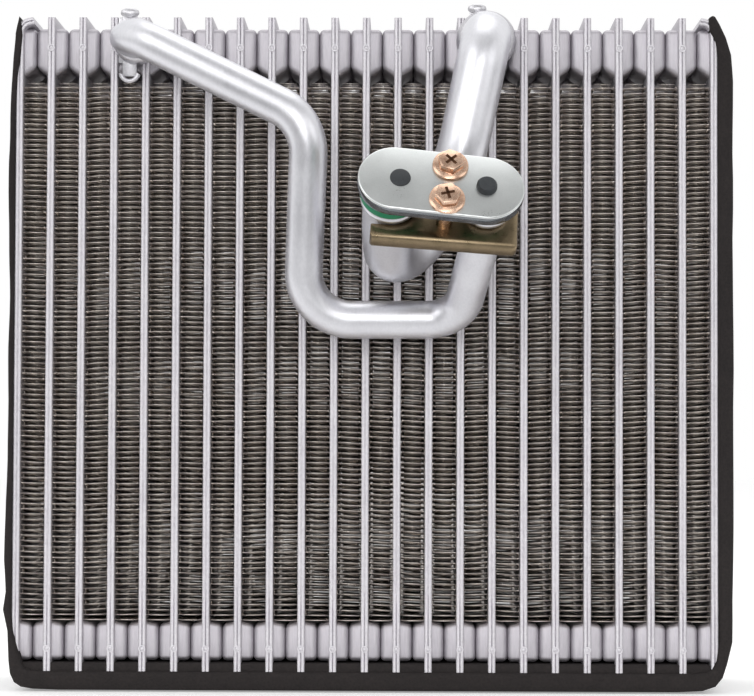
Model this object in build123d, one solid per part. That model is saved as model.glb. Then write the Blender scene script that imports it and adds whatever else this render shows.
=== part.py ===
"""Evaporator core of a vehicle air conditioner, brazed from stamped aluminium plates.

Frame: +X to the right seen from the pipes, +Y through the core away from the pipes, +Z up.
The origin is the centre of the flat underside of the foam seal, below the middle of the core.
All sizes are in millimetres.
"""
from build123d import *
import math
import os

# Core: flat tubes side by side, a folded fin between each pair
TUBE_COUNT = 21              # tubes between the two end plates
TUBE_PITCH = 10.2
TUBE_THICKNESS = 2.4
CORE_DEPTH = 60.0            # front to back, along Y
PLATE_HEIGHT = 210.9
BRAZE_GAP = 0.02             # left at each brazed line

# Tank cups, drawn out of the plates at both ends
CUP_MARGIN = 3.2             # plate rim left above, below and in front of a cup
CUP_HEIGHT_TOP = 13.7
CUP_HEIGHT_BOTTOM = 12.6
CUP_DEPTH = 24.0             # front to back, of each of the two cups
CUP_DRAFT = 11.0             # degrees

# Folded fins
FIN_THICKNESS = 0.5          # measured across the core
FIN_FOLDS = 22               # legs from bottom to top
FIN_TOP_GAP = 4.0            # open space between a fin and the cups above
FIN_BOTTOM_GAP = 0.6

# Foam seal round the left side, the foot and the right side
SEAL_FOOT = 6.0
SEAL_LEFT = 3.0
SEAL_RIGHT = 5.0
SEAL_LIP = 1.0               # how far the foam stands in front of the core
SEAL_LEFT_SLOPE = 7.0        # length of the sloped front edge on the left
SEAL_TOP_LEFT = 0.4          # above the plates
SEAL_TOP_RIGHT = 1.0

# Round sections
ROUND_FLATS = 20             # a round section is drawn with this many flats
BEND_STEP = 15.0             # degrees; a pipe bend is drawn as straight lengths that turn by this much
FIT_GAP = 0.05               # radial play between a round piece and its hole

# Pipes
INLET_RADIUS = 6.0
OUTLET_RADIUS = 8.0
INLET_GAP_INDEX = 3          # the inlet joins between tubes 3 and 4
OUTLET_GAP_INDEX = 14        # the outlet joins between tubes 14 and 15
INLET_ROOT_SHIFT = 2.4       # sideways from the middle of that gap
OUTLET_ROOT_SHIFT = 2.9
INLET_ROOT_DROP = 8.0        # below the top edge of the plates
OUTLET_ROOT_DROP = 7.5
INLET_REACH = 17.0           # first corner in front of the core
OUTLET_REACH = 20.0
INLET_NECK = 10.7            # straight run behind the clamp plate's face
OUTLET_NECK = 13.2
INLET_BENDS = [(-17.2, -62.0, 37.5), (-19.8, -47.0, 98.7), (29.7, -47.0, 98.6)]   # X, Y, below the plates' top
INLET_RADII = [13.0, 15.0, 15.0, 12.0, 12.0]
OUTLET_BENDS = [(30.1, -52.0, 47.9)]
OUTLET_RADII = [13.0, 30.0, 15.0, 40.0]
OUTLET_ELBOW_REACH = 66.0    # from the bead back to the corner of the last elbow
OUTLET_ELBOW_SHIFT = 4.5     # sideways, along the long side of the valve flange

# Adapters that seat the pipes on the tank
ADAPTER_WALL = 1.6
ADAPTER_COLLAR = 5.0
ADAPTER_HEIGHT = 15.0
LUG_WIDTH = 4.8
LUG_THICKNESS = 1.2
LUG_HEAD_WIDTH = 6.1
LUG_HEAD_SIZE = 2.0          # the head is rolled forward to this thickness
LUG_LENGTH = 23.7            # from the end of the upper lug to the end of the lower one
INLET_LUG_RISE = 2.7         # end of the upper lug above the plates
OUTLET_LUG_RISE = 4.2

# Valve flange: position and attitude of the shipping cover's front face
COVER_X = 23.4
COVER_REACH = 65.0           # in front of the core
COVER_DROP = 59.9            # below the top edge of the plates
FLANGE_TILT = 30.0           # degrees that the ports point up
FLANGE_YAW = 4.0             # degrees that the ports point to the right
FLANGE_ROLL = 7.0            # degrees clockwise, seen from the front
CLAMP_ROLL_BACK = 2.2        # the clamp plate sits turned back by this much

COVER_LENGTH = 50.0
COVER_HEIGHT = 22.6
COVER_THICKNESS = 4.0
COVER_EDGE = 0.9
PORT_SPACING = 29.2
PORT_SPACE = 8.3             # between the cover and the clamp plate
CLAMP_LENGTH = 44.4
CLAMP_HEIGHT = 26.5
CLAMP_THICKNESS = 5.6
CLAMP_CORNER = 2.0
SCREW_OFFSET = 2.2           # of the screw line from the middle of the cover, towards the inlet port
SCREW_SPACING = 12.3
SCREW_RADIUS = 2.45
SCREW_WASHER_RADIUS = 5.45
SCREW_WASHER_THICKNESS = 1.2
SCREW_HEAD_RADIUS = 4.2      # across the corners
SCREW_HEAD_HEIGHT = 2.6
SCREW_HEAD_SIDES = 6
BEAD_STEP = 1.2              # how far a pipe bead stands out of its pipe
BEAD_THICKNESS = 3.0
SPIGOT_GAP = 0.3             # between a spigot's end and the cover
RING_STEP = 1.6              # how far a sealing ring stands out of its pipe
PLUG_RADIUS = 3.15
PLUG_LEFT = -12.3
PLUG_RIGHT = 13.6
PLUG_LEFT_PROUD = 0.5
PLUG_RIGHT_PROUD = 2.0

# Worked out from the sizes above
FRONT = -CORE_DEPTH / 2
FOOT_Z = SEAL_FOOT
TOP_Z = FOOT_Z + PLATE_HEIGHT
INLET_ROOT_Z = TOP_Z - INLET_ROOT_DROP
OUTLET_ROOT_Z = TOP_Z - OUTLET_ROOT_DROP
HALF_TUBE = TUBE_THICKNESS / 2
HALF_PITCH = TUBE_PITCH / 2
END_X = (TUBE_COUNT + 1) / 2 * TUBE_PITCH
SIDE_X = END_X + HALF_TUBE
CUP_FRONT = FRONT + CUP_MARGIN
TOP_CUP_Z = TOP_Z - CUP_MARGIN - CUP_HEIGHT_TOP
BOTTOM_CUP_Z = FOOT_Z + CUP_MARGIN
FIN_LOW = BOTTOM_CUP_Z + CUP_HEIGHT_BOTTOM + FIN_BOTTOM_GAP
FIN_HIGH = TOP_CUP_Z - FIN_TOP_GAP
COVER_CENTRE = (COVER_X, FRONT - COVER_REACH, TOP_Z - COVER_DROP)


def tube_x(index):
    """Middle of a tube; index 0 and TUBE_COUNT + 1 are the end plates."""
    return (index - (TUBE_COUNT + 1) / 2) * TUBE_PITCH


def flange_axes():
    """The port direction, the flange's long side and its short side."""
    tilt, yaw, roll = (math.radians(a) for a in (FLANGE_TILT, FLANGE_YAW, FLANGE_ROLL))
    out = Vector(math.sin(yaw) * math.cos(tilt), -math.cos(yaw) * math.cos(tilt), math.sin(tilt))
    level = Vector(math.cos(yaw), math.sin(yaw), 0)
    rise = out.cross(level)
    return out, level * math.cos(roll) - rise * math.sin(roll)


OUT, ALONG = flange_axes()
COVER_FACE = Plane(origin=COVER_CENTRE, x_dir=ALONG, z_dir=OUT)
CLAMP_FRONT = -(COVER_THICKNESS + PORT_SPACE)
BEAD_FRONT = CLAMP_FRONT + BEAD_THICKNESS


def shaft(radius):
    """Section of a round piece."""
    return RegularPolygon(radius, ROUND_FLATS)


def bore(radius):
    """Section of the hole that takes a round piece, however that piece is turned."""
    return RegularPolygon(radius + FIT_GAP, ROUND_FLATS, major_radius=False)


def below_top(bends):
    """Corners given with their depth below the plates' top, as points."""
    return [(x, y, TOP_Z - drop) for x, y, drop in bends]


def on_port_axis(side, depth):
    """A point on a port's axis: side is -1 for the outlet and 1 for the inlet."""
    return COVER_FACE.from_local_coords(Vector(side * PORT_SPACING / 2, 0, depth))


def cups(side):
    """The four cups that a plate reaches out with, to its right (1) or its left (-1)."""
    reach = HALF_PITCH - HALF_TUBE
    draft = reach * math.tan(math.radians(CUP_DRAFT))
    result = []
    for low, height in ((TOP_CUP_Z, CUP_HEIGHT_TOP), (BOTTOM_CUP_Z, CUP_HEIGHT_BOTTOM)):
        cup = Wedge(CUP_DEPTH, reach, height, draft, draft, CUP_DEPTH - draft, height - draft)
        for row in (-1, 1):
            middle_y = row * (CORE_DEPTH / 2 - CUP_MARGIN - CUP_DEPTH / 2)
            place = Pos(side * (HALF_TUBE + reach / 2), middle_y, low + height / 2)
            result.append(place * Rot(0, 0, -side * 90) * cup)
    return result


def plate_body():
    """The flat part of a tube: two plates brazed face to face round their rim."""
    body = Box(TUBE_THICKNESS, CORE_DEPTH, PLATE_HEIGHT)
    return Pos(0, 0, FOOT_Z + PLATE_HEIGHT / 2) * body


def make_tube():
    return plate_body() + cups(1) + cups(-1)


def make_end_plate(side):
    """The outermost plate, with cups on its inner side only."""
    return plate_body() + cups(-side)


def make_fin():
    """One folded strip, its crests against the two tubes beside it."""
    half = HALF_PITCH - HALF_TUBE - BRAZE_GAP
    leg = (FIN_HIGH - FIN_LOW) / FIN_FOLDS
    left_side = []
    for i in range(FIN_FOLDS + 1):
        crest = half - FIN_THICKNESS if i % 2 else -half
        left_side.append((crest, FIN_LOW + i * leg))
    right_side = [(x + FIN_THICKNESS, z) for x, z in reversed(left_side)]
    strip = Plane.XZ * Polygon(*left_side, *right_side, align=None)
    return extrude(strip, CORE_DEPTH / 2, both=True)


def make_seal():
    """One strip of foam bent round the core's left side, foot and right side."""
    left, right = -SIDE_X - SEAL_LEFT, SIDE_X + SEAL_RIGHT
    high_left, high_right = TOP_Z + SEAL_TOP_LEFT, TOP_Z + SEAL_TOP_RIGHT
    outline = Polygon((left, 0), (right, 0), (right, high_right), (SIDE_X, high_right), (SIDE_X, SEAL_FOOT),
                      (-SIDE_X, SEAL_FOOT), (-SIDE_X, high_left), (left, high_left), align=None)
    depth = CORE_DEPTH + SEAL_LIP
    strip = Pos(0, CORE_DEPTH / 2, 0) * extrude(Plane.XZ * outline, depth)
    slope = Polygon((left, FRONT - SEAL_LIP), (left + SEAL_LEFT / 2, FRONT - SEAL_LIP),
                    (left, FRONT - SEAL_LIP + SEAL_LEFT_SLOPE), align=None)
    return strip - Pos(0, 0, SEAL_FOOT) * extrude(slope, high_left)


def mitred(route):
    """A route with each of its bends cut into short straight lengths."""
    corners = []
    for edge in route.edges():
        turn = (edge % 0).get_angle(edge % 1)
        lengths = max(1, math.ceil(turn / BEND_STEP))
        corners += [edge @ (i / lengths) for i in range(lengths)]
    return Polyline(*corners, route @ 1)


def make_pipe(points, radii, radius, side):
    """A pipe along straight runs joined by tangent bends, with the bead near its open end."""
    end = on_port_axis(side, -COVER_THICKNESS - SPIGOT_GAP)
    route = mitred(FilletPolyline(*points, end, radius=radii))
    start = Plane(origin=route @ 0, z_dir=route % 0)
    bead = COVER_FACE.offset(CLAMP_FRONT) * Pos(side * PORT_SPACING / 2, 0) * shaft(radius + BEAD_STEP)
    pipe = sweep(start * shaft(radius), path=route, transition=Transition.RIGHT)
    return pipe + extrude(bead, BEAD_THICKNESS)


def make_inlet_pipe():
    root = Vector(tube_x(INLET_GAP_INDEX) + HALF_PITCH + INLET_ROOT_SHIFT, FRONT, INLET_ROOT_Z)
    first = Vector(root.X, FRONT - INLET_REACH, root.Z)
    neck = on_port_axis(1, CLAMP_FRONT - INLET_NECK)
    return make_pipe([root, first, *below_top(INLET_BENDS), neck], INLET_RADII, INLET_RADIUS, 1)


def make_outlet_pipe():
    root = Vector(tube_x(OUTLET_GAP_INDEX) + HALF_PITCH + OUTLET_ROOT_SHIFT, FRONT, OUTLET_ROOT_Z)
    first = Vector(root.X, FRONT - OUTLET_REACH, root.Z)
    elbow = on_port_axis(-1, CLAMP_FRONT - OUTLET_ELBOW_REACH) + ALONG * OUTLET_ELBOW_SHIFT
    neck = on_port_axis(-1, CLAMP_FRONT - OUTLET_NECK)
    return make_pipe([root, first, *below_top(OUTLET_BENDS), elbow, neck], OUTLET_RADII, OUTLET_RADIUS, -1)


def make_adapter(gap_index, shift, pipe_z, radius, lug_rise):
    """Saddle between two tube rims, a strap with a rolled lug at each end, and a collar round the pipe."""
    middle = tube_x(gap_index) + HALF_PITCH
    lug_top = TOP_Z + lug_rise
    saddle = Box(TUBE_PITCH - TUBE_THICKNESS, CUP_MARGIN, ADAPTER_HEIGHT)
    strap = Box(LUG_WIDTH, LUG_THICKNESS, LUG_LENGTH)
    body = Pos(middle, FRONT + CUP_MARGIN / 2, TOP_Z - ADAPTER_HEIGHT / 2) * saddle
    body = body + Pos(middle, FRONT - LUG_THICKNESS / 2, lug_top - LUG_LENGTH / 2) * strap
    for head_z in (lug_top - LUG_HEAD_SIZE / 2, lug_top - LUG_LENGTH + LUG_HEAD_SIZE / 2):
        head = Box(LUG_HEAD_WIDTH, LUG_HEAD_SIZE, LUG_HEAD_SIZE)
        body = body + Pos(middle, FRONT - LUG_HEAD_SIZE / 2, head_z) * head
    axis = Plane(origin=(middle + shift, FRONT, pipe_z), x_dir=(1, 0, 0), z_dir=(0, -1, 0))
    body = body + extrude(axis * shaft(radius + ADAPTER_WALL), ADAPTER_COLLAR)
    return body - extrude(axis * bore(radius), ADAPTER_COLLAR)


def make_cover():
    """Shipping cover plate: round ends, two screw holes, two plugged holes."""
    straight = COVER_LENGTH - COVER_HEIGHT
    outline = Rectangle(straight, COVER_HEIGHT)
    for way in (1, -1):
        outline = outline + Pos(way * straight / 2, 0) * shaft(COVER_HEIGHT / 2)
    plate = extrude(COVER_FACE * outline, -COVER_THICKNESS)
    front = plate.faces().sort_by(Axis(COVER_CENTRE, OUT))[-1]
    plate = chamfer(front.edges(), COVER_EDGE)
    holes = [Pos(SCREW_OFFSET, way * SCREW_SPACING / 2) * bore(SCREW_RADIUS) for way in (1, -1)]
    holes += [Pos(place, 0) * bore(PLUG_RADIUS) for place in (PLUG_LEFT, PLUG_RIGHT)]
    for hole in holes:
        plate = plate - extrude(COVER_FACE * hole, -COVER_THICKNESS)
    return plate


def make_plugs():
    """Two rubber plugs that stand a little proud of the cover."""
    parts = []
    for place, proud in ((PLUG_LEFT, PLUG_LEFT_PROUD), (PLUG_RIGHT, PLUG_RIGHT_PROUD)):
        base = COVER_FACE.offset(-COVER_THICKNESS) * Pos(place, 0) * shaft(PLUG_RADIUS)
        parts.append(extrude(base, COVER_THICKNESS + proud))
    return Compound(children=parts)


def make_clamp_plate():
    """Plate that clamps both pipe beads: a closed hole for the inlet, an open slot for the outlet."""
    face = COVER_FACE.offset(CLAMP_FRONT)
    outline = Pos(SCREW_OFFSET, 0) * Rot(0, 0, CLAMP_ROLL_BACK) * Rectangle(CLAMP_LENGTH, CLAMP_HEIGHT)
    outline = chamfer((face * outline).vertices(), CLAMP_CORNER)
    plate = extrude(outline, -CLAMP_THICKNESS)
    neck = Pos(-PORT_SPACING / 2, 0)
    slot_width = 2 * (OUTLET_RADIUS + FIT_GAP)
    cuts = [Pos(PORT_SPACING / 2, 0) * bore(INLET_RADIUS), neck * bore(OUTLET_RADIUS),
            neck * Pos(-CLAMP_LENGTH / 4, 0) * Rectangle(CLAMP_LENGTH / 2, slot_width)]
    cuts += [Pos(SCREW_OFFSET, way * SCREW_SPACING / 2) * bore(SCREW_RADIUS) for way in (1, -1)]
    for cut in cuts:
        plate = plate - extrude(face * cut, -CLAMP_THICKNESS)
    return plate


def make_screws():
    """Two washer-head screws through the cover into the clamp plate."""
    length = COVER_THICKNESS + PORT_SPACE + CLAMP_THICKNESS
    parts = []
    for way in (1, -1):
        place = COVER_FACE * Pos(SCREW_OFFSET, way * SCREW_SPACING / 2)
        shank = extrude(place * shaft(SCREW_RADIUS), -length)
        washer = extrude(place * shaft(SCREW_WASHER_RADIUS), SCREW_WASHER_THICKNESS)
        hexagon = RegularPolygon(SCREW_HEAD_RADIUS, SCREW_HEAD_SIDES)
        head = extrude(place * hexagon, SCREW_WASHER_THICKNESS + SCREW_HEAD_HEIGHT)
        parts.append(shank + washer + head)
    return Compound(children=parts)


def make_ring(side, radius):
    """Sealing ring between the cover and a pipe bead."""
    base = COVER_FACE.offset(BEAD_FRONT) * Pos(side * PORT_SPACING / 2, 0)
    return extrude(base * (shaft(radius + RING_STEP) - bore(radius)), -COVER_THICKNESS - BEAD_FRONT)


def make_all():
    nodes = {}
    tube = make_tube()
    for i in range(1, TUBE_COUNT + 1):
        nodes[f"tube_{i:02d}"] = Pos(tube_x(i), 0, 0) * tube
    fin = make_fin()
    for i in range(1, TUBE_COUNT + 2):
        nodes[f"fin_{i:02d}"] = Pos(tube_x(i) - HALF_PITCH, 0, 0) * fin
    nodes["end_plate_left"] = Pos(tube_x(0), 0, 0) * make_end_plate(-1)
    nodes["end_plate_right"] = Pos(tube_x(TUBE_COUNT + 1), 0, 0) * make_end_plate(1)
    nodes["foam_seal"] = make_seal()
    nodes["inlet_pipe"] = make_inlet_pipe()
    nodes["outlet_pipe"] = make_outlet_pipe()
    nodes["inlet_adapter"] = make_adapter(
        INLET_GAP_INDEX, INLET_ROOT_SHIFT, INLET_ROOT_Z, INLET_RADIUS, INLET_LUG_RISE)
    nodes["outlet_adapter"] = make_adapter(
        OUTLET_GAP_INDEX, OUTLET_ROOT_SHIFT, OUTLET_ROOT_Z, OUTLET_RADIUS, OUTLET_LUG_RISE)
    nodes["clamp_plate"] = make_clamp_plate()
    nodes["cover_plate"] = make_cover()
    nodes["cover_plugs"] = make_plugs()
    nodes["cover_screws"] = make_screws()
    nodes["inlet_ring"] = make_ring(1, INLET_RADIUS)
    nodes["outlet_ring"] = make_ring(-1, OUTLET_RADIUS)
    return nodes


def main():
    os.makedirs("parts", exist_ok=True)
    for name, shape in make_all().items():
        export_step(shape, f"parts/{name}.step")


main()
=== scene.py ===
"""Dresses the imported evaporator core: brazed plates, folded fins, bent pipes, valve flange and foam seal."""

import logging
from dataclasses import dataclass
from enum import Enum
from math import copysign, cos, exp, pi, radians, sin, tan, tau

import bmesh
import bpy
from bmesh.types import BMEdge, BMesh, BMFace, BMVert
from bpy.types import Material, Node, NodeSocket, NodeTree, Object
from mathutils import Matrix, Vector, noise

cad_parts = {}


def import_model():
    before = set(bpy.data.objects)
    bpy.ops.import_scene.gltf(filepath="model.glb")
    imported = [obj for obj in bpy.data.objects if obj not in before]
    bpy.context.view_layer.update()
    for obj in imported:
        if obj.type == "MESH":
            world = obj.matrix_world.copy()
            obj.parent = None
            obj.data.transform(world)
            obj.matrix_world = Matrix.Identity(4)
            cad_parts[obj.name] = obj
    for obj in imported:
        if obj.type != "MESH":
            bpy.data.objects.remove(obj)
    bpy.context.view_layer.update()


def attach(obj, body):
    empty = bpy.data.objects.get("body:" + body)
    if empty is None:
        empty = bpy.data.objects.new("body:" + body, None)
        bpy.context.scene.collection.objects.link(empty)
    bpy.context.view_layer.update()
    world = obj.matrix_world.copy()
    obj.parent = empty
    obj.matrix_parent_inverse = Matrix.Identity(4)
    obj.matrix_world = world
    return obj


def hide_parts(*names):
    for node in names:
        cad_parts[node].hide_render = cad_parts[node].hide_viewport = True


Pair = tuple[float, float]
Triple = tuple[float, float, float]

LOG = logging.getLogger("evaporator")
MM = 0.001
# Two lengths in millimetres nearer than this count as the same
NEAR = 1e-3
# Edges that meet at a larger angle than this stay sharp
SHARP_DEGREES = 35
# Radius of the open centre of a turned shape, so that no face shrinks to nothing
AXIS = 0.01


class Slot(Enum):
    """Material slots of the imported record."""

    TUBE = "tube_aluminium"
    FIN = "fin_aluminium"
    PIPE = "pipe_aluminium"
    FOAM = "foam"
    YELLOW = "yellow_steel"
    ZINC = "zinc_steel"
    COPPER = "copper_steel"
    BLACK_RUBBER = "black_rubber"
    GREEN_RUBBER = "green_rubber"


class Shading(Enum):
    """How the faces of a piece meet."""

    SMOOTH = "smooth"
    SHARP_EDGES = "smooth with sharp edges"


# Materials


def linear(hex_colour: str) -> tuple[float, float, float, float]:
    """Turns an sRGB hex colour to linear RGBA.

    Args:
        hex_colour: six hex digits with a leading #.

    Returns:
        Red, green, blue and an alpha of 1.
    """
    values = [int(hex_colour[i:i + 2], 16) / 255 for i in (1, 3, 5)]
    red, green, blue = (v / 12.92 if v <= 0.04045 else ((v + 0.055) / 1.055) ** 2.4 for v in values)
    return red, green, blue, 1.0


def feed(tree: NodeTree, node: Node, inputs: dict) -> None:
    """Sets or links a node's inputs.

    Args:
        tree: the node's tree.
        node: the node.
        inputs: by input name or number, a value or the output socket that feeds it.
    """
    for name, value in inputs.items():
        if isinstance(value, NodeSocket):
            tree.links.new(value, node.inputs[name])
        else:
            node.inputs[name].default_value = value


def add_node(tree: NodeTree, kind: str, inputs: dict | None = None, **settings: object) -> Node:
    """Adds a node with its settings, values and links.

    Args:
        tree: node tree that gets the node.
        kind: Blender's name for the type of node.
        inputs: by input name or number, a value or the output socket that feeds it.
        settings: the node's own properties.

    Returns:
        The new node.
    """
    node = tree.nodes.new(kind)
    for name, value in settings.items():
        setattr(node, name, value)
    feed(tree, node, inputs or {})
    return node


def per_mm(size: float) -> float:
    """Noise scale that gives features of about this size in millimetres."""
    return 1 / (size * MM)


def add_noise(tree: NodeTree, place: NodeSocket, size_mm: float, detail: float, roughness: float) -> NodeSocket:
    """Adds cloudy noise with features of a size in millimetres."""
    return add_node(tree, "ShaderNodeTexNoise", {"Vector": place, "Scale": per_mm(size_mm), "Detail": detail,
                                                 "Roughness": roughness}).outputs["Fac"]


def add_range(tree: NodeTree, value: NodeSocket, source: Pair,
              target: Pair = (0.0, 1.0)) -> NodeSocket:
    """Adds a clamped map of a value from its source range to the target range."""
    return add_node(tree, "ShaderNodeMapRange",
                    {"Value": value, "From Min": source[0], "From Max": source[1], "To Min": target[0],
                     "To Max": target[1]}).outputs[0]


def add_math(tree: NodeTree, operation: str, first: NodeSocket, second: NodeSocket | float) -> NodeSocket:
    """Adds a calculation with two values."""
    return add_node(tree, "ShaderNodeMath", {0: first, 1: second}, operation=operation).outputs[0]


def mix_values(tree: NodeTree, share: float, first: NodeSocket, second: NodeSocket) -> NodeSocket:
    """Adds a mix of two values, with the second one's share."""
    return add_node(tree, "ShaderNodeMix", {"Factor": share, "A": first, "B": second}).outputs[0]


def mix_colours(tree: NodeTree, factor: NodeSocket, dark: str, light: str) -> NodeSocket:
    """Adds a mix of two colours given as hex, from dark at 0 to light at 1."""
    return add_node(tree, "ShaderNodeMix", {"Factor": factor, 6: linear(dark), 7: linear(light)},
                    data_type="RGBA").outputs[2]


def new_material(name: str) -> tuple[Material, NodeTree, NodeSocket]:
    """Starts a node material.

    Args:
        name: its name.

    Returns:
        The material, its node tree and the object's own coordinates.
    """
    material = bpy.data.materials.new(name)
    material.use_nodes = True
    tree = material.node_tree
    return material, tree, add_node(tree, "ShaderNodeTexCoord").outputs["Object"]


@dataclass(frozen=True)
class MetalFinish:
    """Bare or plated metal with grain, cloudy colour and uneven polish."""

    name: str
    light: str
    dark: str
    roughness: Pair
    cloud_mm: float
    grain_mm: float
    grain_stretch: Triple = (1, 1, 1)
    grain_share: float = 0.4
    bump_mm: float = 0.02
    metallic: float = 1.0
    bump_strength: float = 0.6
    colour_range: Pair = (0.32, 0.68)
    polish_range: Pair = (0.35, 0.65)

    def build(self) -> Material:
        """Makes the node material.

        Returns:
            The material.
        """
        material, tree, place = new_material(self.name)
        stretched = add_node(tree, "ShaderNodeMapping", {"Vector": place, "Scale": self.grain_stretch}).outputs[0]
        cloud = add_noise(tree, place, self.cloud_mm, 3.0, 0.6)
        grain = add_noise(tree, stretched, self.grain_mm, 4.0, 0.65)
        both = mix_values(tree, self.grain_share, cloud, grain)
        bump = add_node(tree, "ShaderNodeBump", {"Height": grain, "Strength": self.bump_strength,
                                                 "Distance": self.bump_mm * MM})
        colour = mix_colours(tree, add_range(tree, both, self.colour_range), self.dark, self.light)
        polish = add_range(tree, both, self.polish_range, self.roughness)
        feed(tree, tree.nodes["Principled BSDF"],
             {"Base Color": colour, "Roughness": polish, "Normal": bump.outputs[0], "Metallic": self.metallic})
        return material


@dataclass(frozen=True)
class SoftFinish:
    """Foam or rubber: a matt body with open cells or moulding grain."""

    name: str
    light: str
    dark: str
    roughness: float
    cell_mm: float
    cloud_mm: float
    bump_mm: float
    specular: float
    bump_strength: float = 0.7
    cloud_share: float = 0.6

    def build(self) -> Material:
        """Makes the node material.

        Returns:
            The material.
        """
        material, tree, place = new_material(self.name)
        cells = add_node(tree, "ShaderNodeTexVoronoi", {"Vector": place, "Scale": per_mm(self.cell_mm)})
        cloud = add_noise(tree, place, self.cloud_mm, 5.0, 0.7)
        both = mix_values(tree, self.cloud_share, cells.outputs["Distance"], cloud)
        bump = add_node(tree, "ShaderNodeBump", {"Height": both, "Strength": self.bump_strength,
                                                 "Distance": self.bump_mm * MM})
        feed(tree, tree.nodes["Principled BSDF"],
             {"Base Color": mix_colours(tree, both, self.dark, self.light), "Normal": bump.outputs[0],
              "Roughness": self.roughness, "Specular IOR Level": self.specular})
        return material


# Clad aluminium plate out of the brazing furnace: pale grey, powdery with flux residue
BRAZED_PLATE = MetalFinish("brazed_clad_aluminium", "#e2e0e3", "#c2bfc5", (0.46, 0.62), 9.0, 0.55,
                           grain_stretch=(1, 1, 0.6), grain_share=0.7, bump_mm=0.05, metallic=0.85)
# The drawn cups of the same plate: satin and a shade darker, with faint streaks from the draw along their height
DRAWN_CUP = MetalFinish("drawn_clad_aluminium", "#d0cdd2", "#b4b0b6", (0.48, 0.60), 12.0, 0.5,
                        grain_stretch=(1, 1, 0.12), grain_share=0.6, metallic=0.95)
# Thin rolled fin strip: bright and warm, so that light from behind the core passes on from leg to leg
FIN_STRIP = MetalFinish("rolled_fin_aluminium", "#e8e2dc", "#cbc1b7", (0.25, 0.36), 14.0, 0.9,
                        grain_stretch=(0.3, 0.3, 1), grain_share=0.5)
# Drawn aluminium tube, washed after bending: bright satin with soft broad highlights
PIPE_WALL = MetalFinish("drawn_aluminium_tube", "#ececf0", "#d8d8dd", (0.36, 0.46), 16.0, 0.8,
                        grain_stretch=(1, 1, 0.5), bump_mm=0.015)
# Turned and stamped adapter of raw aluminium: pale and satin, without a clear reflection
ADAPTER_METAL = MetalFinish("stamped_aluminium", "#dedde0", "#bcbbc0", (0.34, 0.48), 6.0, 0.5,
                            grain_share=0.5, bump_mm=0.03)
# Zinc plated sheet steel of the shipping cover: bright, faintly green, nearly even
ZINC_PLATE = MetalFinish("zinc_plated_steel", "#dfe2e1", "#d2d5d4", (0.27, 0.36), 10.0, 0.4,
                         grain_share=0.5, bump_mm=0.015)
# The wall of the same cover: low roughness for a clear reflection of the core below it, and a base colour painted
# dark grey, a painted dark reflection
ZINC_WALL_PAINTED_DARK = MetalFinish("zinc_wall_painted_dark_reflection", "#8d9194", "#787c80", (0.12, 0.18), 10.0, 0.4, bump_mm=0.01)
# Yellow chromate on steel: dark gold; its rounded edges catch bright highlights
YELLOW_CHROMATE = MetalFinish("yellow_chromate_steel", "#94836a", "#776a53", (0.26, 0.38), 5.0, 0.5)
# Copper coloured plating on the screws: pink and glossy
COPPER_PLATE = MetalFinish("copper_plated_steel", "#ecccb4", "#c9a188", (0.20, 0.32), 2.5, 0.4)
# Dark brown metal of the bars painted as the shadow in the driver recess: the cross reads as a brown shadow
RECESS_PAINTED_SHADOW = MetalFinish("recess_painted_shadow_steel", "#6d4a34", "#3a2519", (0.4, 0.5), 2.0, 0.3, metallic=0.9)
# Closed-cell rubber foam tape: black, matt, finely porous
RUBBER_FOAM = SoftFinish("closed_cell_foam", "#35302f", "#1c1a1b", 0.85, 0.8, 7.0, 0.25, 0.25)
# Moulded rubber plugs: dark grey with a faint gloss
PLUG_RUBBER = SoftFinish("moulded_nitrile_rubber", "#3c4044", "#1e2123", 0.5, 0.5, 2.0, 0.03, 0.45)
# Sealing rings of hydrogenated nitrile rubber: strong green with a soft gloss
RING_RUBBER = SoftFinish("green_nitrile_rubber", "#1f9a6c", "#0c6a47", 0.38, 0.6, 2.0, 0.02, 0.5)


# Mesh helpers


def faces_of(geometry: list) -> list[BMFace]:
    """The faces among some geometry."""
    return [g for g in geometry if isinstance(g, BMFace)]


def verts_of(geometry: list) -> list[BMVert]:
    """The vertices among some geometry."""
    return [g for g in geometry if isinstance(g, BMVert)]


def edges_of(geometry: list) -> list[BMEdge]:
    """The edges among some geometry."""
    return [g for g in geometry if isinstance(g, BMEdge)]


def everything(mesh: BMesh) -> list:
    """All vertices, edges and faces of a mesh."""
    return [*mesh.verts, *mesh.edges, *mesh.faces]


def with_ends(edges: list[BMEdge]) -> list:
    """Some edges and their vertices, each once."""
    return edges + list(dict.fromkeys(v for e in edges for v in e.verts))


def edges_within(verts: list[BMVert]) -> list[BMEdge]:
    """The edges with both ends among some vertices, in an order that is the same at each run."""
    chosen = set(verts)
    return list(dict.fromkeys(e for v in verts for e in v.link_edges if e.other_vert(v) in chosen))


def cut(mesh: BMesh, geometry: list, place: Triple, normal: Triple,
        clear: bool = False) -> list:
    """Cuts some geometry along a plane, and clears what lies past it if asked."""
    return bmesh.ops.bisect_plane(mesh, geom=geometry, plane_co=place, plane_no=normal, dist=1e-5,
                                  clear_outer=clear)["geom"]


def cut_faces(mesh: BMesh, faces: list[BMFace], y: float) -> list[BMFace]:
    """Cuts some faces across the depth of the core.

    Args:
        mesh: mesh that they belong to.
        faces: the faces.
        y: where they are cut.

    Returns:
        The faces as they are after the cut.
    """
    around = list(dict.fromkeys(g for f in faces for g in (*f.verts, *f.edges, f)))
    parts = cut(mesh, around, (0, y, 0), (0, 1, 0))
    return list(dict.fromkeys([f for f in faces if f.is_valid] + faces_of(parts)))


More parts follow.
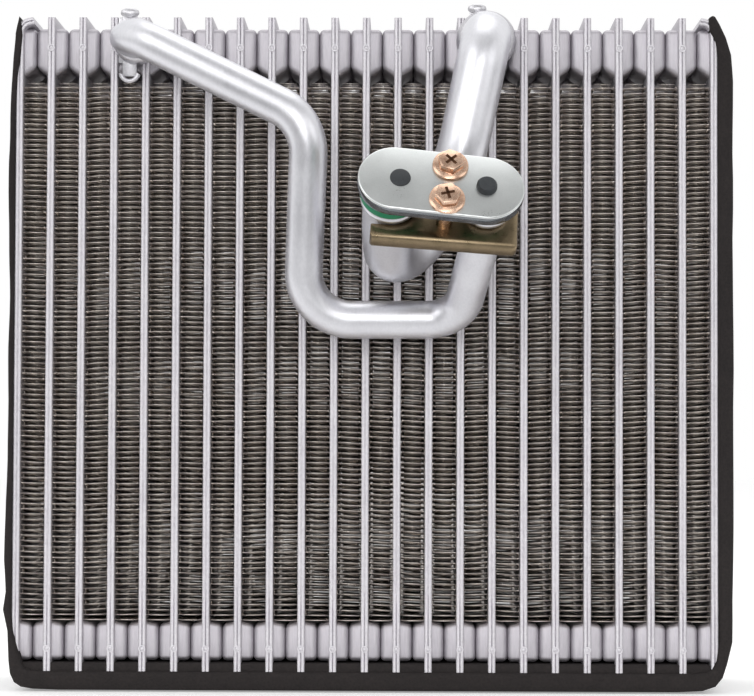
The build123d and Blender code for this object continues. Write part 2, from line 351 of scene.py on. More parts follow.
def add_block(mesh: BMesh, low: Triple, high: Triple) -> list[BMVert]:
    """Adds a box between two corners.

    Args:
        mesh: mesh that gets the box.
        low: its lowest corner.
        high: its highest corner.

    Returns:
        The box's vertices.
    """
    size = Vector(high) - Vector(low)
    matrix = Matrix.Translation(Vector(low) + size / 2) @ Matrix.Diagonal((*size, 1))
    return bmesh.ops.create_cube(mesh, size=1, matrix=matrix)["verts"]


def add_round(mesh: BMesh, radius: float, depth: float, place: Matrix, segments: int,
              end_radius: float) -> list[BMVert]:
    """Adds a capped cylinder or cone that starts at the place's origin and runs along its Z."""
    matrix = place @ Matrix.Translation((0, 0, depth / 2))
    return bmesh.ops.create_cone(mesh, cap_ends=True, segments=segments, radius1=radius, radius2=end_radius,
                                 depth=depth, matrix=matrix)["verts"]


def round_edges(mesh: BMesh, edges: list[BMEdge], offset: float, segments: int) -> None:
    """Rounds some edges."""
    bmesh.ops.bevel(mesh, geom=edges, offset=offset, offset_type="OFFSET", segments=segments, profile=0.5,
                    affect="EDGES", material=-1, clamp_overlap=True)


def draw_out(mesh: BMesh, faces: list[BMFace], way: Triple) -> None:
    """Extrudes some faces as one and moves them."""
    drawn = bmesh.ops.extrude_face_region(mesh, geom=faces)["geom"]
    bmesh.ops.translate(mesh, vec=way, verts=verts_of(drawn))


def add_turned(mesh: BMesh, profile: list[Pair], place: Matrix, steps: int) -> None:
    """Turns a closed profile of radii and heights about the place's Z.

    Args:
        mesh: mesh that gets the shape.
        profile: radius and height of each corner.
        place: where it goes.
        steps: faces round it.
    """
    corners = [mesh.verts.new(place @ Vector((radius, 0, height))) for radius, height in profile]
    ring = [mesh.edges.new((a, b)) for a, b in zip(corners, corners[1:] + corners[:1])]
    axis = (place.to_3x3() @ Vector((0, 0, 1))).normalized()
    bmesh.ops.spin(mesh, geom=corners + ring, cent=place.translation, axis=axis, dvec=(0, 0, 0),
                   angle=tau, steps=steps, use_merge=True, use_duplicate=False)


class Maker:
    """Turns finished meshes into pieces of the scene, and builds each finish once."""

    def __init__(self) -> None:
        """Starts with no material built."""
        self._materials: dict[str, Material] = {}

    def piece(self, name: str, mesh: BMesh, finishes: list[MetalFinish | SoftFinish], slot: Slot,
              node: str, shading: Shading = Shading.SHARP_EDGES, closed: bool = True) -> Object:
        """Makes an object of a mesh in millimetres and hangs it on the frame.

        Args:
            name: name of the piece.
            mesh: its geometry; it is freed.
            finishes: one per material index.
            slot: slot of the record; not used.
            node: CAD node that the piece stands for.
            shading: how its faces meet.
            closed: whether its normals are turned to the outside; an open strip has none.

        Returns:
            The object.
        """
        if closed:
            bmesh.ops.recalc_face_normals(mesh, faces=mesh.faces)
        bmesh.ops.scale(mesh, vec=(MM, MM, MM), verts=mesh.verts)
        data = bpy.data.meshes.new(name)
        mesh.to_mesh(data)
        mesh.free()
        for finish in finishes:
            if finish.name not in self._materials:
                self._materials[finish.name] = finish.build()
            data.materials.append(self._materials[finish.name])
        data.shade_smooth()
        if shading is Shading.SHARP_EDGES:
            data.set_sharp_from_angle(angle=radians(SHARP_DEGREES))
        thing = bpy.data.objects.new(name, data)
        bpy.context.scene.collection.objects.link(thing)
        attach(thing, "root")
        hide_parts(node)
        LOG.info("%s: %d faces", name, len(data.polygons))
        return thing


# The core


@dataclass
class CoreSizes:
    """Sizes that the plates, fins and seal share, in millimetres."""

    tube_count: int = 21
    pitch: float = 10.2
    thickness: float = 2.4
    depth: float = 60.0
    foot_z: float = 6.0
    top_z: float = 216.9
    cup_margin: float = 3.2
    top_cup_low: float = 200.0
    top_cup_high: float = 213.7
    bottom_cup_low: float = 9.2
    bottom_cup_high: float = 21.8
    cup_depth: float = 24.0
    fin_low: float = 22.4
    fin_high: float = 196.0

    def tube_x(self, index: int) -> float:
        """Middle of a tube; 0 and tube_count + 1 are the end plates."""
        return (index - (self.tube_count + 1) / 2) * self.pitch

    @property
    def front(self) -> float:
        """Front face of the core."""
        return -self.depth / 2


@dataclass
class PlatePair:
    """A flat tube of two drawn plates, or an end plate, with its tank cups."""

    core: CoreSizes
    maker: Maker
    rim_round: float = 0.45
    seam_width: float = 0.5
    seam_depth: float = 0.42
    seam_depth_low: float = 0.10
    tank_reach: float = 20.0
    seam_fade: float = 6.0
    cup_root: float = 0.4
    cup_gap: float = 0.01
    cup_round: float = 1.7
    shoulder_drop: float = 2.2
    foot_shoulder_drop: float = 0.33
    shoulder_lift: float = 0.8
    mark_radius: float = 1.25
    mark_rise: float = 0.35
    mark_levels: Pair = (207.0, 13.3)
    curl_radius: float = 5.0
    curl_degrees: float = 75.0
    curl_tip: Pair = (1.6, 0.25)

    def add_plate(self, mesh: BMesh, x: float, top: float) -> None:
        """Adds the flat part, with rounded rims and the seam between the two plates' edges.

        Args:
            mesh: mesh that gets it.
            x: middle of the tube.
            top: its upper end.
        """
        half, core = self.core.thickness / 2, self.core
        verts = add_block(mesh, (x - half, core.front, core.foot_z), (x + half, -core.front, top))
        upright = [e for e in edges_within(verts) if abs(e.verts[0].co.z - e.verts[1].co.z) > 1]
        round_edges(mesh, upright, self.rim_round, 3)
        for shift in (-self.seam_width / 2, 0, self.seam_width / 2):
            cut(mesh, everything(mesh), (x + shift, 0, 0), (1, 0, 0))
        faded = self.tank_reach + self.seam_fade
        for level in (core.foot_z + self.tank_reach, core.foot_z + faded,
                      core.top_z - faded, core.top_z - self.tank_reach):
            cut(mesh, everything(mesh), (0, 0, level), (0, 0, 1))
        for vert in mesh.verts:
            if abs(vert.co.x - x) < NEAR and abs(abs(vert.co.y) - core.depth / 2) < NEAR:
                from_end = min(vert.co.z - core.foot_z, core.top_z - vert.co.z)
                inward = self.seam_depth if from_end < self.tank_reach + 1 else self.seam_depth_low
                vert.co.y -= copysign(inward, vert.co.y)

    def add_cups(self, mesh: BMesh, x: float, side: int) -> None:
        """Adds the four cups on one side of a plate.

        Args:
            mesh: mesh that gets them.
            x: middle of the tube.
            side: 1 for the right, -1 for the left.
        """
        core = self.core
        near = x + side * (core.thickness / 2 - self.cup_root)
        far = x + side * (core.pitch / 2 - self.cup_gap)
        y = core.depth / 2 - core.cup_margin - core.cup_depth / 2
        tanks = ((core.top_cup_low, core.top_cup_high, -1, self.shoulder_drop),
                 (core.bottom_cup_low, core.bottom_cup_high, 1, self.foot_shoulder_drop))
        for low, high, towards_fins, drop in tanks:
            inner_end = low if towards_fins < 0 else high
            for row in (-y, y):
                verts = add_block(mesh, (min(near, far), row - core.cup_depth / 2, low),
                                  (max(near, far), row + core.cup_depth / 2, high))
                for vert in verts:
                    if abs(vert.co.z - inner_end) < NEAR:
                        outside = abs(vert.co.x - far) < NEAR
                        vert.co.z += towards_fins * (-self.shoulder_lift if outside else drop)
                edges = edges_within(verts)
                lying = [e for e in edges if abs(e.verts[0].co.x - e.verts[1].co.x) > 1]
                outer = [e for e in edges if all(abs(v.co.x - far) < NEAR for v in e.verts)]
                for face in {f for v in verts for f in v.link_faces}:
                    face.material_index = 1
                round_edges(mesh, lying + outer, self.cup_round, 4)

    def add_marks(self, mesh: BMesh, x: float) -> None:
        """Adds the small stamped rings near both ends of the front rim.

        Args:
            mesh: mesh that gets them.
            x: middle of the tube.
        """
        r, h = self.mark_radius, self.mark_rise
        profile = [(r, -0.3), (r * 0.93, h), (r * 0.62, h), (r * 0.52, 0.05), (0.3 * r, 0.12), (0.02, 0.16),
                   (0.02, -0.3)]
        for level in self.mark_levels:
            place = Matrix.Translation((x, self.core.front, level)) @ Matrix.Rotation(pi / 2, 4, "X")
            add_turned(mesh, profile, place, 14)

    def finish(self, mesh: BMesh, node: str) -> None:
        """Merges the doubles and makes the piece."""
        bmesh.ops.remove_doubles(mesh, verts=mesh.verts, dist=1e-4)
        self.maker.piece(f"{node}_plates", mesh, [BRAZED_PLATE, DRAWN_CUP], Slot.TUBE, node)

    def build_tube(self, index: int) -> None:
        """Builds one flat tube.

        Args:
            index: its number, from 1 at the left.
        """
        mesh, x = bmesh.new(), self.core.tube_x(index)
        self.add_plate(mesh, x, self.core.top_z)
        self.add_cups(mesh, x, 1)
        self.add_cups(mesh, x, -1)
        self.add_marks(mesh, x)
        self.finish(mesh, f"tube_{index:02d}")

    def build_end(self, side: int) -> None:
        """Builds an end plate, whose top curls in over the cups.

        Args:
            side: 1 for the right, -1 for the left.
        """
        mesh, core = bmesh.new(), self.core
        x = core.tube_x(0 if side < 0 else core.tube_count + 1)
        level = core.top_z - self.curl_radius
        self.add_plate(mesh, x, level)
        top = [f for f in mesh.faces if f.calc_center_median().z > level - NEAR]
        pivot = Vector((x + side * (core.thickness / 2 - self.curl_radius), 0, level))
        curl = bmesh.ops.spin(mesh, geom=top + edges_within([v for f in top for v in f.verts]),
                              cent=pivot, axis=(0, 1, 0), dvec=(0, 0, 0), steps=6,
                              angle=-side * radians(self.curl_degrees), use_merge=False, use_duplicate=False)
        ends = faces_of(curl["geom_last"])
        draw_out(mesh, ends, (-side * self.curl_tip[0], 0, self.curl_tip[1]))
        inner = [f for f in ends + top if f.is_valid]
        bmesh.ops.delete(mesh, geom=inner, context="FACES_ONLY")
        self.add_cups(mesh, x, -side)
        self.finish(mesh, "end_plate_left" if side < 0 else "end_plate_right")

    def build(self) -> None:
        """Builds every tube and both end plates."""
        for index in range(1, self.core.tube_count + 1):
            self.build_tube(index)
        for side in (-1, 1):
            self.build_end(side)


@dataclass
class FoldedFin:
    """The folded, louvred strips between the tubes."""

    core: CoreSizes
    maker: Maker
    legs: int = 103
    sheet: float = 0.19
    front_gap: float = 0.5
    land: float = 1.8
    louvre_pitch: float = 3.5
    louvre_degrees: float = 7.0
    bank_half: float = 2.8
    corner: float = 0.12
    notch: float = 7.0
    waviness: float = 0.16
    drift: float = 0.35
    tilt: float = 0.12
    end_fade: float = 3.0
    sag: float = 1.6
    sag_cut: float = 12.0

    @property
    def spacing(self) -> float:
        """Distance from leg to leg."""
        return (self.core.fin_high - self.core.fin_low - self.sheet) / self.legs

    @property
    def reach(self) -> float:
        """Half length of a leg's flat part."""
        return (self.core.pitch - self.core.thickness - self.sheet) / 2 - self.corner

    def draw_wave(self) -> BMesh:
        """Draws two legs and two turns of the strip, centred on X, and gives them their depth.

        Returns:
            The mesh of the plain wave.
        """
        mesh, core = bmesh.new(), self.core
        half, z = self.reach + self.corner, core.fin_low + self.sheet / 2
        last = mesh.verts.new((-self.reach, core.front + self.front_gap, z))
        for way in (1, -1):
            for x, rise in ((-self.bank_half, 0), (self.bank_half, 0), (self.reach, 0), (half, self.corner),
                            (half, self.spacing - self.corner), (self.reach, self.spacing)):
                moved = bmesh.ops.extrude_vert_indiv(mesh, verts=[last])["verts"]
                bmesh.ops.translate(mesh, vec=(way * x - last.co.x, 0, z + rise - last.co.z), verts=moved)
                last = moved[0]
            z += self.spacing
        strip = bmesh.ops.extrude_edge_only(mesh, edges=list(mesh.edges))
        bmesh.ops.translate(mesh, vec=(0, core.depth - 2 * self.front_gap, 0), verts=verts_of(strip["geom"]))
        return mesh

    def notch_turns(self, mesh: BMesh, edging: list[BMFace]) -> None:
        """Cuts the strip's edging so that it can sag, and takes the turns away at both faces of the core.

        Args:
            mesh: mesh of the wave.
            edging: its faces beside the banks of louvres.
        """
        end = self.core.depth / 2 - self.front_gap - self.notch
        for y in (-end, -self.sag_cut, 0, self.sag_cut, end):
            edging = cut_faces(mesh, edging, y)
        notches = [f for f in edging if abs(f.calc_center_median().x) > self.reach
                   and abs(f.calc_center_median().y) > end]
        bmesh.ops.delete(mesh, geom=notches, context="FACES")

    def cut_louvres(self, mesh: BMesh, bank: list[BMFace]) -> None:
        """Cuts the legs' banks into slats and opens them, towards the front ahead of the middle.

        Args:
            mesh: mesh of the wave.
            bank: the faces of its two banks, split from the edging.
        """
        first = self.core.front + self.front_gap + self.land
        count = round(-2 * first / self.louvre_pitch)
        for i in range(count + 1):
            bank = cut_faces(mesh, bank, first - i * 2 * first / count)
        for slat in [f for f in bank if first < f.calc_center_median().y < -first]:
            loose = faces_of(bmesh.ops.split(mesh, geom=[slat])["geom"])[0]
            middle = loose.calc_center_median()
            angle = radians(self.louvre_degrees) * (1 if middle.y < 0 else -1)
            bmesh.ops.rotate(mesh, cent=middle, matrix=Matrix.Rotation(angle, 3, "X"), verts=loose.verts)

    def strip(self) -> BMesh:
        """Repeats the wave up the whole fin and trims it to its height.

        Returns:
            The mesh of one straight strip.
        """
        mesh = self.draw_wave()
        banks = [f for f in mesh.faces if abs(f.calc_center_median().x) < self.corner]
        edging = [f for f in mesh.faces if abs(f.calc_center_median().x) > self.corner]
        loose = faces_of(bmesh.ops.split(mesh, geom=banks)["geom"])
        self.notch_turns(mesh, edging)
        self.cut_louvres(mesh, loose)
        bmesh.ops.spin(mesh, geom=everything(mesh), cent=(0, 0, 0), axis=(0, 0, 1), dvec=(0, 0, 2 * self.spacing),
                       angle=0, steps=self.legs // 2, use_merge=False, use_duplicate=True)
        cut(mesh, everything(mesh), (0, 0, self.core.fin_high - self.sheet), (0, 0, 1), clear=True)
        bmesh.ops.remove_doubles(mesh, verts=mesh.verts, dist=0.01)
        return mesh

    def bend(self, mesh: BMesh, index: int) -> None:
        """Lifts the strip by fine waves, a slow drift, a tilt and a sag, which fade at both ends.

        Args:
            mesh: the straight strip, centred on X.
            index: the fin's number, which sets its noise.
        """
        core = self.core
        slope = self.tilt * noise.noise(Vector((index * 3.7, 0.5, 0.2)))
        for vert in mesh.verts:
            place = Vector((vert.co.x * 0.25, vert.co.y * 0.05, vert.co.z * 0.31 + index * 17.0))
            slow = Vector((0, index * 5.3, vert.co.z * 0.045))
            inside = min(1.0, (vert.co.z - core.fin_low) / self.end_fade,
                         (core.fin_high - vert.co.z) / self.end_fade)
            lift = self.waviness * noise.noise(place) + self.drift * noise.noise(slow)
            lift += slope * vert.co.x - self.sag * cos(pi * vert.co.y / core.depth)
            vert.co.z += lift * max(0.0, inside)

    def build(self) -> None:
        """Builds the 22 strips, each bent a little differently."""
        straight = self.strip()
        for index in range(1, self.core.tube_count + 2):
            mesh = straight.copy()
            self.bend(mesh, index)
            x = self.core.tube_x(index) - self.core.pitch / 2
            bmesh.ops.translate(mesh, vec=(x, 0, 0), verts=mesh.verts)
            node = f"fin_{index:02d}"
            fin = self.maker.piece(f"{node}_strip", mesh, [FIN_STRIP], Slot.FIN, node, closed=False)
            wall = fin.modifiers.new("sheet", "SOLIDIFY")
            wall.thickness = self.sheet * MM
            wall.offset = 0
        straight.free()


# The pipes


@dataclass
class FlangeSizes:
    """Place and sizes of the valve flange, in millimetres and degrees."""

    centre: Triple = (23.4, -95.0, 157.0)
    tilt: float = 30.0
    yaw: float = 4.0
    roll: float = 7.0
    clamp_roll_back: float = 2.2
    cover_length: float = 50.0
    cover_height: float = 22.6
    cover_thickness: float = 4.0
    port_spacing: float = 29.2
    port_space: float = 8.3
    clamp_length: float = 44.4
    clamp_height: float = 26.5
    clamp_thickness: float = 5.6
    screw_offset: float = 2.2
    screw_spacing: float = 12.3
    bead_step: float = 1.2
    bead_thickness: float = 3.0
    pipe_gap: float = 0.3

    @property
    def frame(self) -> Matrix:
        """Works out where the cover is.

        Returns:
            Matrix of the cover's front face: X along it, Z out of it.
        """
        tilt, yaw, roll = (radians(a) for a in (self.tilt, self.yaw, self.roll))
        out = Vector((sin(yaw) * cos(tilt), -cos(yaw) * cos(tilt), sin(tilt)))
        level = Vector((cos(yaw), sin(yaw), 0))
        along = level * cos(roll) - out.cross(level) * sin(roll)
        turned = Matrix((along, out.cross(along), out)).transposed().to_4x4()
        return Matrix.Translation(self.centre) @ turned

    def on_port(self, side: int, depth: float) -> Vector:
        """A point on a port's axis: side is -1 for the outlet and 1 for the inlet."""
        return self.frame @ Vector((side * self.port_spacing / 2, 0, depth))

    def pipe_end(self, side: int) -> Vector:
        """Where the pipe of a port ends, just behind the cover."""
        return self.on_port(side, -self.cover_thickness - self.pipe_gap)

    @property
    def clamp_front(self) -> float:
        """Front face of the clamp plate, from the cover's front face."""
        return -(self.cover_thickness + self.port_space)


@dataclass(frozen=True)
class Port:
    """One way into the tank: its pipe, its adapter and its place on the flange, in millimetres."""

    name: str
    tube: int
    shift: float
    drop: float
    radius: float
    side: int
    lug_rise: float

    def middle_x(self, core: CoreSizes) -> float:
        """Middle of the gap that the adapter fills, to the right of its tube."""
        return core.tube_x(self.tube) + core.pitch / 2

    def root(self, core: CoreSizes) -> Vector:
        """Where the pipe's axis meets the core's front face."""
        return Vector((self.middle_x(core) + self.shift, core.front, core.top_z - self.drop))


INLET = Port("inlet", tube=3, shift=2.4, drop=8.0, radius=6.0, side=1, lug_rise=2.7)
OUTLET = Port("outlet", tube=14, shift=2.9, drop=7.5, radius=8.0, side=-1, lug_rise=4.2)


@dataclass
class BentPipe:
    """A drawn tube bent round tangent arcs, with the bead near its open end."""

    port: Port
    corners: list[Vector]
    bend_radii: list[float]
    flange: FlangeSizes
    maker: Maker
    segments: int = 48
    bend_steps: int = 14
    swell: float = 0.0
    swell_reach: float = 18.0
    bead_root: float = 0.3

    def run(self, mesh: BMesh, loop: list[BMEdge], way: Vector, pieces: int = 1) -> list[BMEdge]:
        """Extrudes the open loop along a straight run.

        Args:
            mesh: mesh of the pipe.
            loop: the open end's edges.
            way: length and direction of the run.
            pieces: how many parts it is made in.

        Returns:
            The new open end's edges.
        """
        for _ in range(pieces):
            made = bmesh.ops.extrude_edge_only(mesh, edges=loop)["geom"]
            fresh = verts_of(made)
            bmesh.ops.translate(mesh, vec=way / pieces, verts=fresh)
            loop = [e for e in edges_of(made) if all(v in fresh for v in e.verts)]
        return loop

    def build(self) -> None:
        """Builds the pipe as runs and arcs, then its bead."""
        mesh = bmesh.new()
        here, towards = self.corners[0], self.corners[1] - self.corners[0]
        place = Matrix.Translation(here) @ towards.normalized().to_track_quat("Z", "Y").to_matrix().to_4x4()
        bmesh.ops.create_circle(mesh, cap_ends=False, segments=self.segments, radius=self.port.radius,
                                matrix=place)
        loop = list(mesh.edges)
        for before, corner, after, bend in zip(self.corners, self.corners[1:], self.corners[2:],
                                               self.bend_radii):
            first, second = (corner - before).normalized(), (after - corner).normalized()
            turn = first.angle(second)
            tangent = bend * tan(turn / 2)
            bend_start = corner - first * tangent
            if (bend_start - here).length > 0.01:
                loop = self.run(mesh, loop, bend_start - here)
            axis = first.cross(second).normalized()
            centre = bend_start + axis.cross(first) * bend
            steps = max(3, round(self.bend_steps * turn / (pi / 2)))
            arc = bmesh.ops.spin(mesh, geom=with_ends(loop), cent=centre, axis=axis, dvec=(0, 0, 0),
                                 angle=turn, steps=steps, use_merge=False, use_duplicate=False)
            loop, here = edges_of(arc["geom_last"]), corner + second * tangent
        self.run(mesh, loop, self.corners[-1] - here, 2)
        bmesh.ops.remove_doubles(mesh, verts=mesh.verts, dist=NEAR)
        self.swell_first_bend(mesh)
        bmesh.ops.holes_fill(mesh, edges=[e for e in mesh.edges if e.is_boundary], sides=0)
        self.add_bead(mesh)
        node = f"{self.port.name}_pipe"
        self.maker.piece(f"{node}_tube", mesh, [PIPE_WALL], Slot.PIPE, node)

    def swell_first_bend(self, mesh: BMesh) -> None:
        """Widens the left of the first bend, as bending a soft tube leaves it.

        Args:
            mesh: mesh of the pipe.
        """
        corner = self.corners[1]
        for vert in mesh.verts:
            near = exp(-((vert.co - corner).length / self.swell_reach) ** 2)
            vert.co.x += min(0.0, vert.co.x - corner.x) * self.swell * near

    def add_bead(self, mesh: BMesh) -> None:
        """Adds the rounded bead that the clamp plate holds.

        Args:
            mesh: mesh of the pipe.
        """
        flange, thickness = self.flange, self.flange.bead_thickness
        place = flange.frame @ Matrix.Translation((self.port.side * flange.port_spacing / 2, 0,
                                                   flange.clamp_front))
        inner = self.port.radius - self.bead_root
        crown = inner + flange.bead_step + self.bead_root - thickness / 2
        rim = [(crown + thickness / 2 * sin(a), thickness / 2 * (1 - cos(a)))
               for a in (radians(k) for k in range(0, 181, 20))]
        add_turned(mesh, [(inner, 0)] + rim + [(inner, thickness)], place, 48)


@dataclass
class TankAdapter:
    """Saddle between two rims with a riveted strap and a collar round the pipe."""

    port: Port
    core: CoreSizes
    maker: Maker
    saddle_height: float = 15.0
    saddle_gap: float = 0.02
    saddle_round: float = 0.5
    collar: float = 5.0
    wall: float = 1.6
    lug_width: float = 4.8
    lug_length: float = 23.7
    lug_end: float = 1.5
    strap: float = 1.2
    strap_round: float = 0.4
    strap_middle: float = 0.9
    head_radius: float = 3.05
    head_height: float = 2.9
    head_flatness: float = 0.42
    foot_radius: float = 3.0
    foot_wire: float = 0.85

    def build(self) -> None:
        """Builds the saddle, the collar, the strap and its two lugs."""
        mesh, core, x = bmesh.new(), self.core, self.port.middle_x(self.core)
        half = (core.pitch - core.thickness) / 2 - self.saddle_gap
        verts = add_block(mesh, (x - half, core.front, core.top_z - self.saddle_height),
                          (x + half, core.front + core.cup_margin, core.top_z))
        round_edges(mesh, edges_within(verts), self.saddle_round, 2)
        self.add_collar(mesh)
        top = core.top_z + self.port.lug_rise
        low = top - self.lug_length
        verts = add_block(mesh, (x - self.lug_width / 2, core.front - self.strap, low + self.lug_end),
                          (x + self.lug_width / 2, core.front + self.strap_round, top - self.lug_end))
        round_edges(mesh, edges_within(verts), self.strap_round, 2)
        self.add_head(mesh, Vector((x, core.front - self.strap_middle, top - self.head_height)))
        self.add_foot(mesh, Vector((x, core.front - self.strap_middle, low + self.foot_radius + 0.05)))
        node = f"{self.port.name}_adapter"
        self.maker.piece(f"{node}_saddle", mesh, [ADAPTER_METAL], Slot.PIPE, node)

    def add_collar(self, mesh: BMesh) -> None:
        """Adds the collar round the pipe, its end rounded off like a braze fillet.

        Args:
            mesh: mesh of the adapter.
        """
        place = Matrix.Translation(self.port.root(self.core)) @ Matrix.Rotation(pi / 2, 4, "X")
        inner, outer, rise = self.port.radius + 0.05, self.port.radius + self.wall, self.collar
        add_turned(mesh, [(inner, -0.5), (outer, -0.5), (outer, rise * 0.4), (outer - 0.2, rise * 0.6),
                          (outer - 0.6, rise * 0.82), (inner + 0.3, rise * 0.97), (inner, rise)], place, 44)

    def add_head(self, mesh: BMesh, base: Vector) -> None:
        """Adds the upset head of the upper lug.

        Args:
            mesh: mesh of the adapter.
            base: middle of the head's underside.
        """
        r, before = self.head_radius, set(mesh.verts)
        add_turned(mesh, [(AXIS, 0), (r * 0.62, 0), (r * 0.95, 0.9), (r, 1.5), (r * 0.9, 2.3), (r * 0.55, 2.8),
                          (AXIS, self.head_height)], Matrix.Translation(base), 24)
        bmesh.ops.scale(mesh, vec=(1, self.head_flatness, 1), verts=[v for v in mesh.verts if v not in before],
                        space=Matrix.Translation((-base.x, -base.y, 0)))

    def add_foot(self, mesh: BMesh, centre: Vector) -> None:
        """Adds the crescent at the lower lug, its ends curled up.

        Args:
            mesh: mesh of the adapter.
            centre: middle of the crescent's arc.
        """
        start = Matrix.Translation(centre + Vector((-0.94, 0, -0.2)) * self.foot_radius)
        ring = bmesh.ops.create_circle(mesh, cap_ends=True, segments=12, radius=self.foot_wire,
                                       matrix=start @ Matrix.Rotation(radians(12), 4, "Y"))["verts"]
        bmesh.ops.spin(mesh, geom=[*ring[0].link_faces] + edges_within(ring) + ring, cent=centre, axis=(0, 1, 0),
                       dvec=(0, 0, 0), angle=-radians(156), steps=12, use_merge=False, use_duplicate=False)


# The valve flange


@dataclass
class ValveFlange:
    """Clamp plate, shipping cover, plugs, screws and sealing rings."""

    sizes: FlangeSizes
    maker: Maker
    cover_front_round: float = 0.55
    cover_back_round: float = 0.4
    clamp_corner: float = 1.8
    clamp_edge: float = 0.35
    slot_play: float = 0.05
    screw_head: float = 4.1
    head_height: float = 2.6
    screw_washer: float = 5.45
    shank_radius: float = 2.45
    # Half length and half width of the dark bars painted as the recess's shadow
    recess: Pair = (2.1, 0.45)
    plugs: tuple[Pair, ...] = ((-12.3, 0.5), (13.6, 2.0))
    plug_radius: float = 3.15
    ring_squareness: float = 0.6

    def build(self) -> None:
        """Builds all the pieces of the flange."""
        self.build_cover()
        self.build_clamp()
        self.build_screws()
        self.build_plugs()
        self.build_ring(INLET, 0.9, 1.6)
        self.build_ring(OUTLET, 1.45, 2.5)

    def build_cover(self) -> None:
        """Builds the cover as a stadium with a rolled front edge and a glossy wall whose zinc is painted darker, a
        painted dark reflection.
        """
        s, mesh = self.sizes, bmesh.new()
        straight = s.cover_length - s.cover_height
        outline = bmesh.ops.create_circle(mesh, cap_ends=True, segments=96, radius=s.cover_height / 2)["verts"]
        for vert in outline:
            vert.co.x += copysign(straight / 2, vert.co.x) if abs(vert.co.x) > NEAR else 0.0
        draw_out(mesh, list(mesh.faces), (0, 0, -s.cover_thickness))
        front, back = ([e for e in mesh.edges if all(abs(v.co.z - z) < NEAR for v in e.verts)]
                       for z in (0, -s.cover_thickness))
        round_edges(mesh, front, self.cover_front_round, 3)
        # The wall's faces get the zinc painted darker, a painted dark reflection; the front and back faces keep
        # the plain zinc
        for face in mesh.faces:
            face.material_index = int(abs(face.normal.z) < 0.2)
        round_edges(mesh, back, self.cover_back_round, 2)
        bmesh.ops.transform(mesh, matrix=s.frame, verts=mesh.verts)
        self.maker.piece("cover_plate_pressing", mesh, [ZINC_PLATE, ZINC_WALL_PAINTED_DARK], Slot.ZINC, "cover_plate")

    def build_clamp(self) -> None:
        """Builds the clamp plate, open towards the outlet's side."""
        s, mesh = self.sizes, bmesh.new()
        half_x, half_y = s.clamp_length / 2, s.clamp_height / 2
        slot = OUTLET.radius + self.slot_play
        port = -s.port_spacing / 2 - s.screw_offset
        outline = [(-half_x, half_y), (half_x, half_y), (half_x, -half_y), (-half_x, -half_y), (-half_x, -slot),
                   (port, -slot)]
        corners = [mesh.verts.new((x, y, 0)) for x, y in outline]
        arc = bmesh.ops.spin(mesh, geom=[corners[-1]], cent=(port, 0, 0), axis=(0, 0, 1), dvec=(0, 0, 0),
                             angle=pi, steps=16, use_merge=False, use_duplicate=False)
        tip = mesh.verts.new((-half_x, slot, 0))
        for a, b in [*zip(corners, corners[1:]), (verts_of(arc["geom_last"])[0], tip), (tip, corners[0])]:
            mesh.edges.new((a, b))
        bmesh.ops.contextual_create(mesh, geom=list(mesh.edges))
        draw_out(mesh, list(mesh.faces), (0, 0, -s.clamp_thickness))
        outer = [e for e in mesh.edges if all(abs(abs(v.co.x) - half_x) < NEAR
                                              and abs(abs(v.co.y) - half_y) < NEAR for v in e.verts)]
        round_edges(mesh, outer, self.clamp_corner, 4)
        sharp = [e for e in mesh.edges if len(e.link_faces) == 2 and e.calc_face_angle(0) > 1.0]
        round_edges(mesh, sharp, self.clamp_edge, 2)
        place = s.frame @ Matrix.Translation((s.screw_offset, 0, s.clamp_front))
        place = place @ Matrix.Rotation(radians(s.clamp_roll_back), 4, "Z")
        bmesh.ops.transform(mesh, matrix=place, verts=mesh.verts)
        self.maker.piece("clamp_plate_stamping", mesh, [YELLOW_CHROMATE], Slot.YELLOW, "clamp_plate")

    def build_screws(self) -> None:
        """Builds two washer-head screws, each with a cross recess drawn as bars of painted shadow."""
        s, w, mesh = self.sizes, self.screw_washer, bmesh.new()
        length = s.cover_thickness + s.port_space + s.clamp_thickness - 1
        washer = [(AXIS, 0.0), (w - 0.3, 0.0), (w, 0.35), (w - 0.15, 0.9), (w - 0.9, 1.3), (AXIS, 1.6)]
        for way in (1, -1):
            place = s.frame @ Matrix.Translation((s.screw_offset, way * s.screw_spacing / 2, 0))
            add_turned(mesh, washer, place, 40)
            add_round(mesh, self.shank_radius, length, place @ Matrix.Translation((0, 0, -length)), 24,
                      self.shank_radius)
            self.add_screw_head(mesh, place @ Matrix.Rotation(way * 0.25, 4, "Z"))
        self.maker.piece("cover_screws_turned", mesh, [COPPER_PLATE, RECESS_PAINTED_SHADOW], Slot.COPPER, "cover_screws")

    def add_screw_head(self, mesh: BMesh, place: Matrix) -> None:
        """Adds a hexagonal head with a cross recess, drawn as two bars of painted shadow that stand just out of
        its top.

        Args:
            mesh: mesh of the screws.
            place: middle of the washer's underside, Z out of it.
        """
        verts = add_round(mesh, self.screw_head, self.head_height, place @ Matrix.Translation((0, 0, 1.1)), 6,
                          self.screw_head * 0.97)
        round_edges(mesh, edges_within(verts), 0.4, 2)
        half_length, half_width = self.recess
        for turn in (0, pi / 2):
            verts = add_block(mesh, (-half_length, -half_width, 3.2), (half_length, half_width, 3.75))
            bmesh.ops.transform(mesh, matrix=place @ Matrix.Rotation(turn + 0.6, 4, "Z"), verts=verts)
            # The bars get the dark metal painted as the recess's shadow
            for face in {f for v in verts for f in v.link_faces}:
                face.material_index = 1

